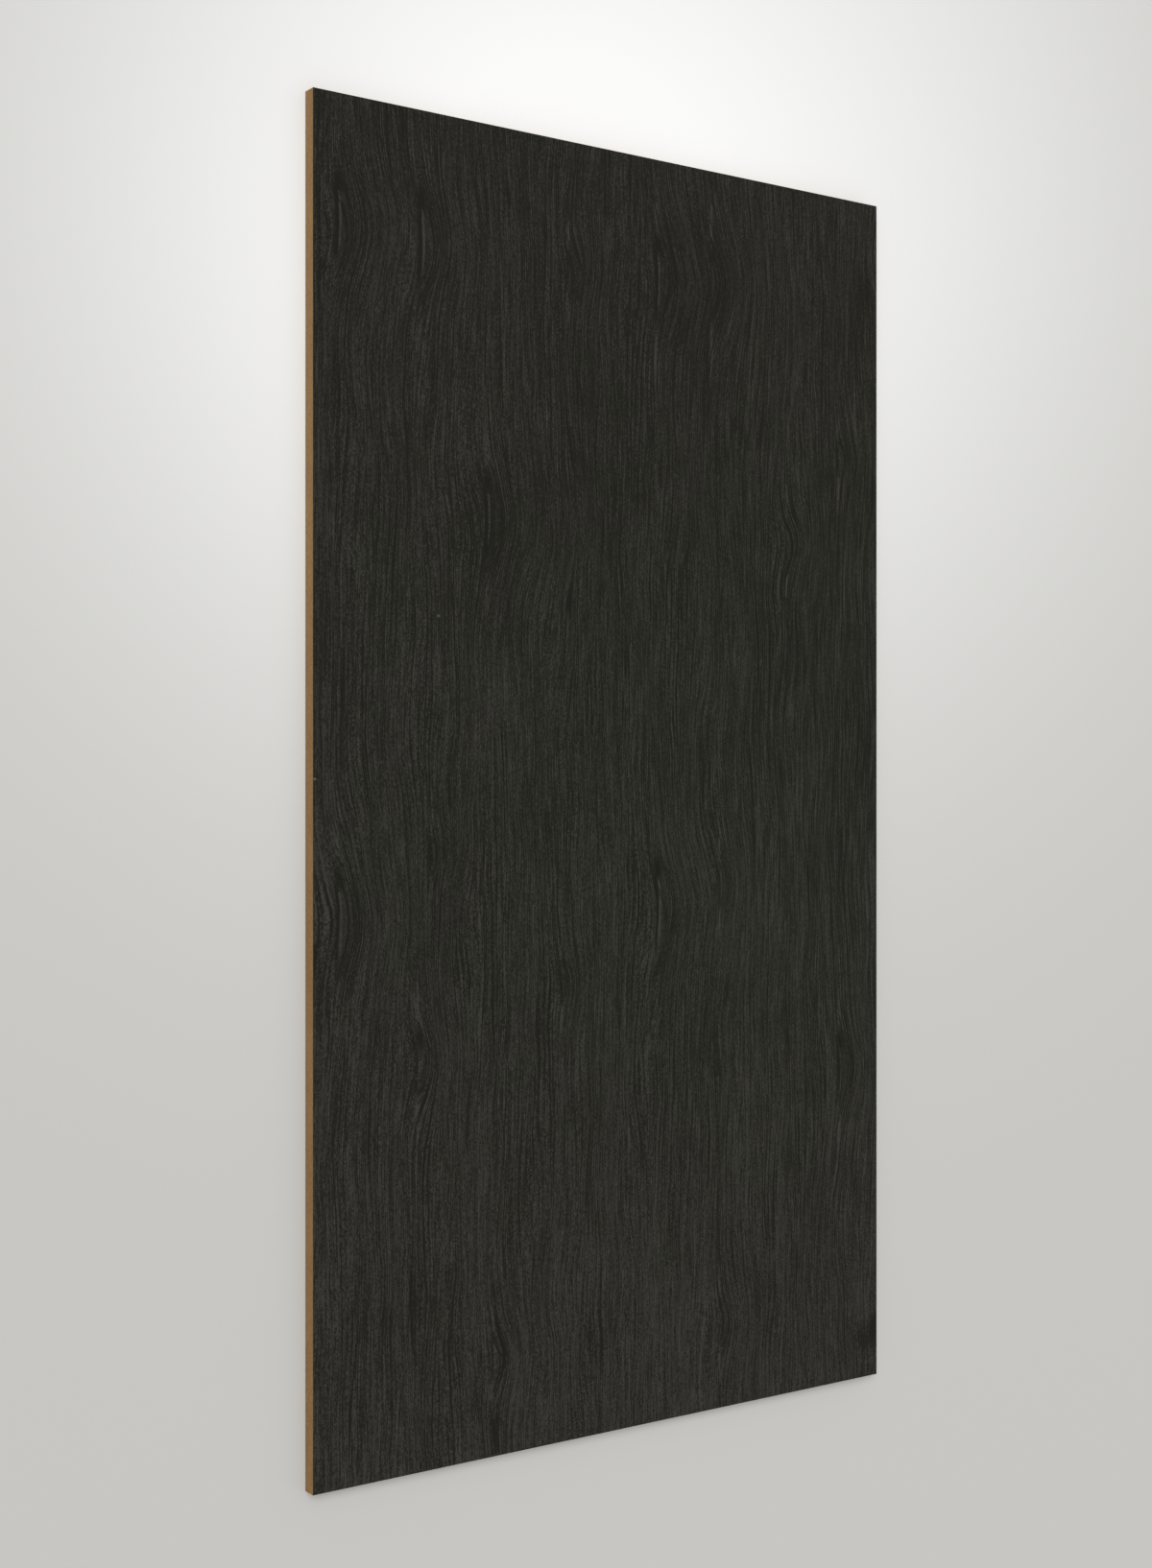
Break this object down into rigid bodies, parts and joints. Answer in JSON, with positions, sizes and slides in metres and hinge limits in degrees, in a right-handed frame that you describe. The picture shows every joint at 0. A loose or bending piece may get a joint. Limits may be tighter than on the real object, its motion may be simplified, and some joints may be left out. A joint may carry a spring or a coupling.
{
  "type": "wood veneer sheet",
  "caption": "Flat rectangular board with a near-black figured wood veneer face on a raw-edged wood-fibre core, used for wall panels, doors and furniture.",
  "frame": {"origin": "middle of the underside, where the back veneer lies on the floor", "axes": "+X across the grain, +Y along the grain and the sheet's length, +Z out of the dark face"},
  "size_m": [1.22, 2.25, 0.0262],
  "materials": {
    "core_fibre": "matte",
    "face_wood": "matte",
    "back_wood": "matte"
  },
  "bodies": {
    "root": {"core_board": "core_fibre", "face_veneer": "face_wood", "back_veneer": "back_wood"}
  },
  "joints": []
}
